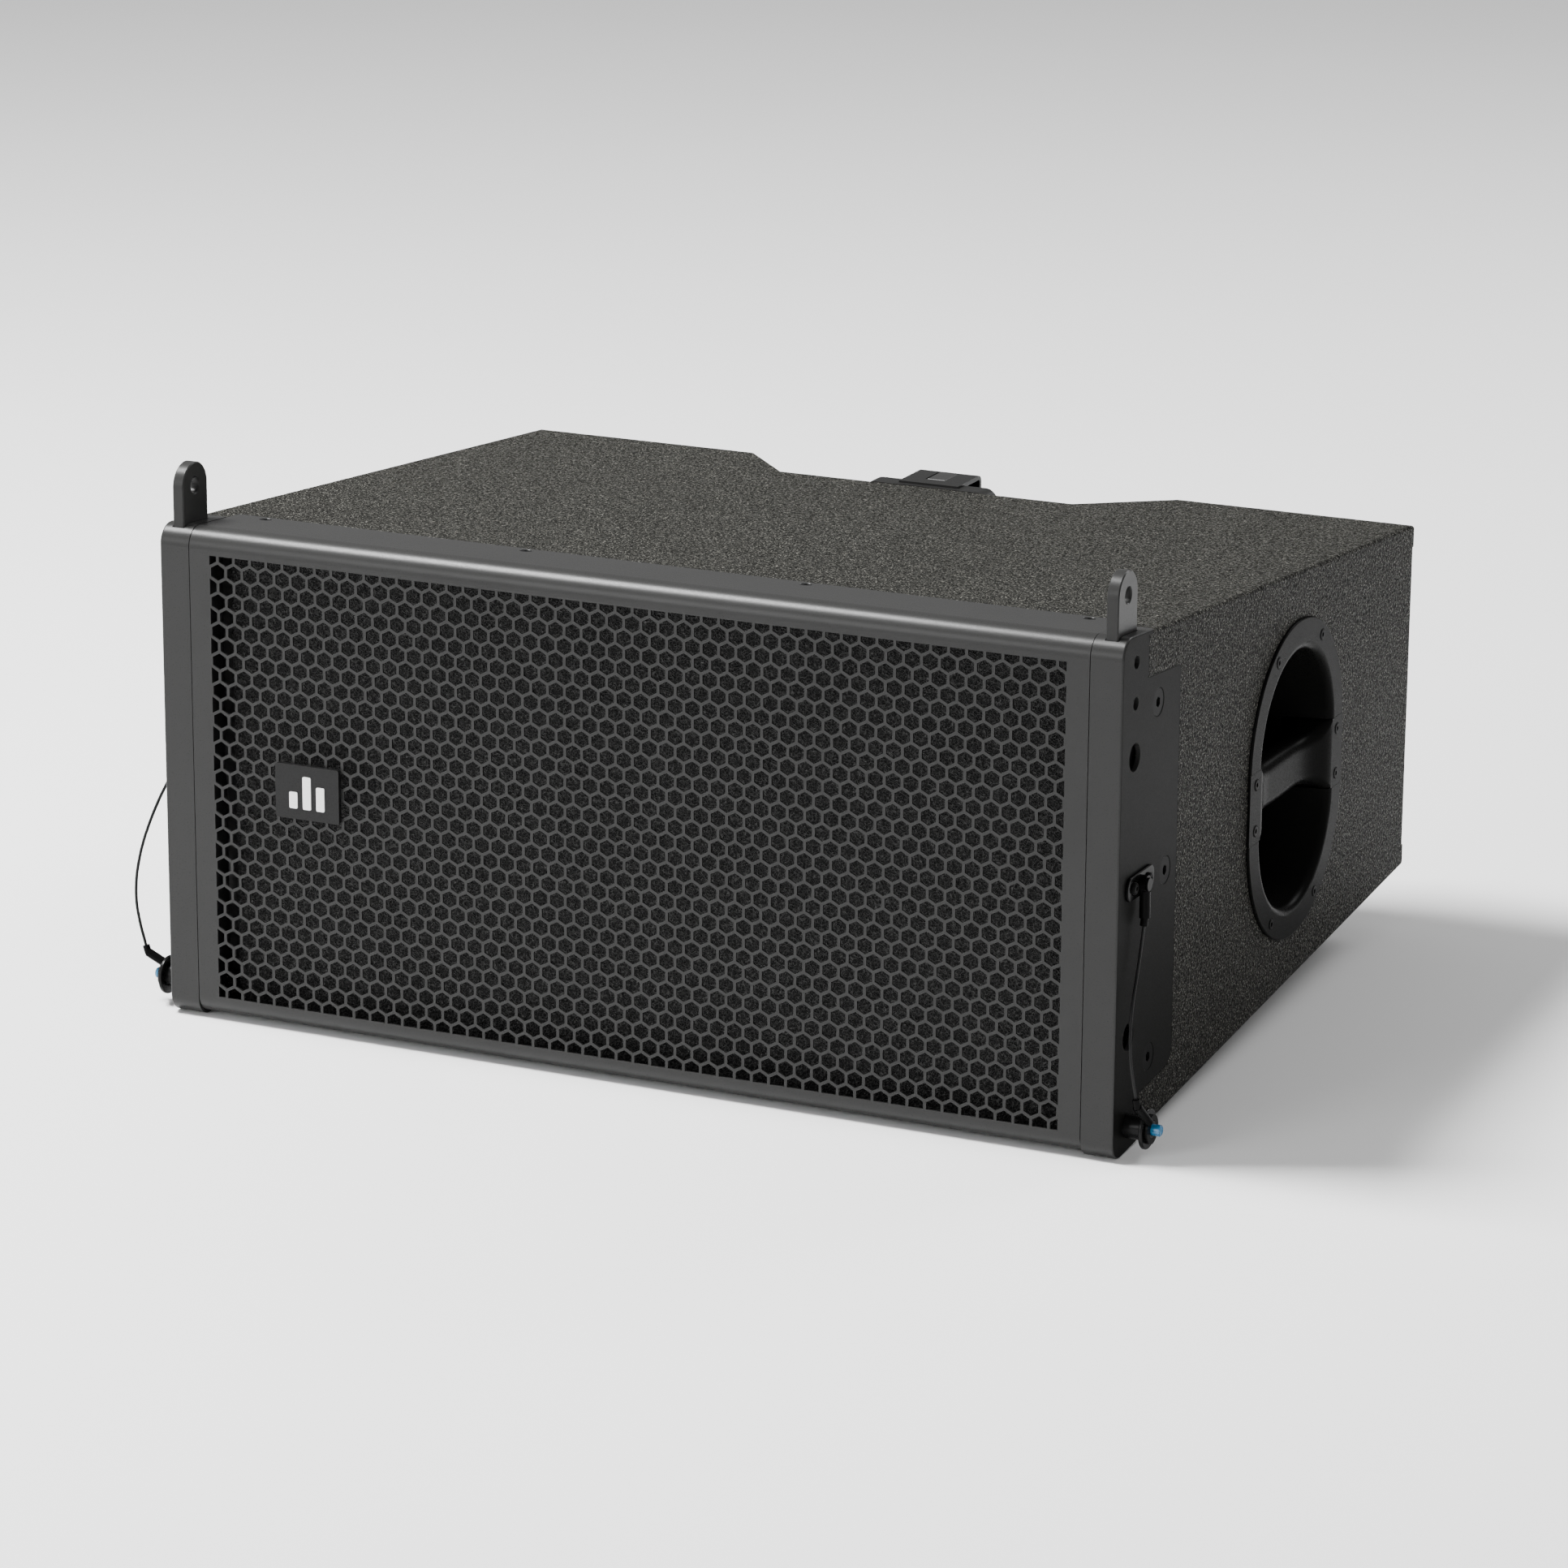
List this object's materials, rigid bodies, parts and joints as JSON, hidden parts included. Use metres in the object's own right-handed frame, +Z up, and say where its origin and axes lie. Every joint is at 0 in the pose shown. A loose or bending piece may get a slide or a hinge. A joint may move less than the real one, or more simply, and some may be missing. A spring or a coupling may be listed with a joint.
{
  "type": "line array speaker",
  "caption": "Tapered line array loudspeaker element with a perforated front grille, sliding rigging links, lock pins on lanyards, a rear rigging bracket and recessed side handles.",
  "frame": {"origin": "under the centre of the bounding box, at the height of the lowest edge of the rigging posts", "axes": "+X to the viewer's right when facing the grille, +Y from the grille to the rear, +Z up"},
  "size_m": [0.7361, 0.541, 0.3726],
  "materials": {
    "cabinet_paint": "textured scratch-resistant paint on birch plywood",
    "bare_ply": "bare birch plywood",
    "black_ply": "black stained plywood",
    "grille_coat": "satin powder coat",
    "rig_coat": "fine powder coat",
    "black_screw": "black oxide",
    "link_coat": "fine powder coat",
    "pin_black": "satin black",
    "button_blue": "translucent blue",
    "lanyard_metal": "gloss black",
    "cable_sheath": "black sheath on wire rope",
    "foam_black": "open-cell foam",
    "badge_face": "dark anodised",
    "badge_bars": "brushed",
    "handle_plastic": "fine-grained glass-filled nylon",
    "bracket_coat": "fine powder coat",
    "connector_plastic": "fine grain",
    "basket_coat": "black coated casting",
    "magnet_steel": "zinc passivated",
    "cone_paper": "treated paper",
    "surround_cloth": "doped cloth",
    "waveguide_plastic": "moulded",
    "driver_metal": "black coated",
    "board_green": "solder resist",
    "coil_copper": "enamelled copper"
  },
  "bodies": {
    "cabinet": {"cabinet_top": "cabinet_paint", "cabinet_bottom": "cabinet_paint", "cabinet_side_left": "cabinet_paint", "cabinet_side_right": "cabinet_paint", "back_panel_left": "cabinet_paint", "back_panel_right": "cabinet_paint", "recess_cheek_left": "cabinet_paint", "recess_cheek_right": "cabinet_paint", "recess_back": "cabinet_paint", "front_baffle": "black_ply", "cabinet_brace": "bare_ply", "grille_frame": "grille_coat", "grille_mesh": "grille_coat", "grille_screws": "black_screw", "grille_foam": "foam_black", "badge_plate": "badge_face", "badge_emblem": "badge_bars", "rigging_frame_left": "rig_coat", "rigging_frame_right": "rig_coat", "rigging_bolts": "black_screw", "link_friction_screws": "black_screw", "lanyard_anchor_left": "lanyard_metal", "lanyard_anchor_right": "lanyard_metal", "lanyard_anchor_screws": "black_screw", "lanyard_cable_left": "cable_sheath", "lanyard_cable_right": "cable_sheath", "lanyard_top_ends": "lanyard_metal", "rear_bracket": "bracket_coat", "rear_bracket_bolts": "black_screw", "connector_plate": "bracket_coat", "speaker_connectors": "connector_plastic", "connector_screws": "black_screw", "handle_cup_left": "handle_plastic", "handle_cup_right": "handle_plastic", "handle_bar_left": "handle_plastic", "handle_bar_right": "handle_plastic", "handle_screws": "black_screw", "woofer_basket_left": "basket_coat", "woofer_basket_right": "basket_coat", "woofer_magnets": "magnet_steel", "woofer_suspension_left": "surround_cloth", "woofer_suspension_right": "surround_cloth", "woofer_screws": "black_screw", "hf_waveguide": "waveguide_plastic", "compression_driver": "driver_metal", "crossover_board": "board_green", "crossover_parts": "coil_copper"},
    "link_bar_left": {"link_bar_left": "link_coat"},
    "link_bar_right": {"link_bar_right": "link_coat"},
    "lock_pin_left": {"lock_pin_left": "pin_black", "lanyard_pin_end_left": "lanyard_metal"},
    "lock_pin_right": {"lock_pin_right": "pin_black", "lanyard_pin_end_right": "lanyard_metal"},
    "lock_button_left": {"lock_button_left": "button_blue"},
    "lock_button_right": {"lock_button_right": "button_blue"},
    "rear_link_arm": {"rear_link_arm": "link_coat"},
    "rear_lock_pin": {"rear_lock_pin": "pin_black"},
    "rear_lock_button": {"rear_lock_button": "button_blue"},
    "woofer_cone_left": {"woofer_cone_left": "cone_paper"},
    "woofer_cone_right": {"woofer_cone_right": "cone_paper"}
  },
  "joints": [
    {"name": "link_slide_left", "type": "slide", "parent": "cabinet", "child": "link_bar_left", "axis": [0, 0, 1], "range_m": [-0.045, 0]},
    {"name": "lock_pin_pull_left", "type": "slide", "parent": "cabinet", "child": "lock_pin_left", "axis": [-1, 0, 0], "range_m": [0, 0.03]},
    {"name": "lock_button_press_left", "type": "slide", "parent": "lock_pin_left", "child": "lock_button_left", "axis": [1, 0, 0], "range_m": [0, 0.004], "stiffness_N_per_m": 800, "springref_m": -0.004},
    {"name": "woofer_stroke_left", "type": "slide", "parent": "cabinet", "child": "woofer_cone_left", "axis": [0, -1, 0], "range_m": [-0.006, 0.006], "stiffness_N_per_m": 3000, "deforming": ["woofer_suspension_left"]},
    {"name": "link_slide_right", "type": "slide", "parent": "cabinet", "child": "link_bar_right", "axis": [0, 0, 1], "range_m": [-0.045, 0]},
    {"name": "lock_pin_pull_right", "type": "slide", "parent": "cabinet", "child": "lock_pin_right", "axis": [1, 0, 0], "range_m": [0, 0.03]},
    {"name": "lock_button_press_right", "type": "slide", "parent": "lock_pin_right", "child": "lock_button_right", "axis": [-1, 0, 0], "range_m": [0, 0.004], "stiffness_N_per_m": 800, "springref_m": -0.004},
    {"name": "woofer_stroke_right", "type": "slide", "parent": "cabinet", "child": "woofer_cone_right", "axis": [0, -1, 0], "range_m": [-0.006, 0.006], "stiffness_N_per_m": 3000, "deforming": ["woofer_suspension_right"]},
    {"name": "rear_link_slide", "type": "slide", "parent": "cabinet", "child": "rear_link_arm", "axis": [0, 0, 1], "range_m": [0, 0.045]},
    {"name": "rear_lock_pin_pull", "type": "slide", "parent": "cabinet", "child": "rear_lock_pin", "axis": [1, 0, 0], "range_m": [0, 0.03]},
    {"name": "rear_lock_button_press", "type": "slide", "parent": "rear_lock_pin", "child": "rear_lock_button", "axis": [-1, 0, 0], "range_m": [0, 0.004], "stiffness_N_per_m": 800, "springref_m": -0.004}
  ]
}
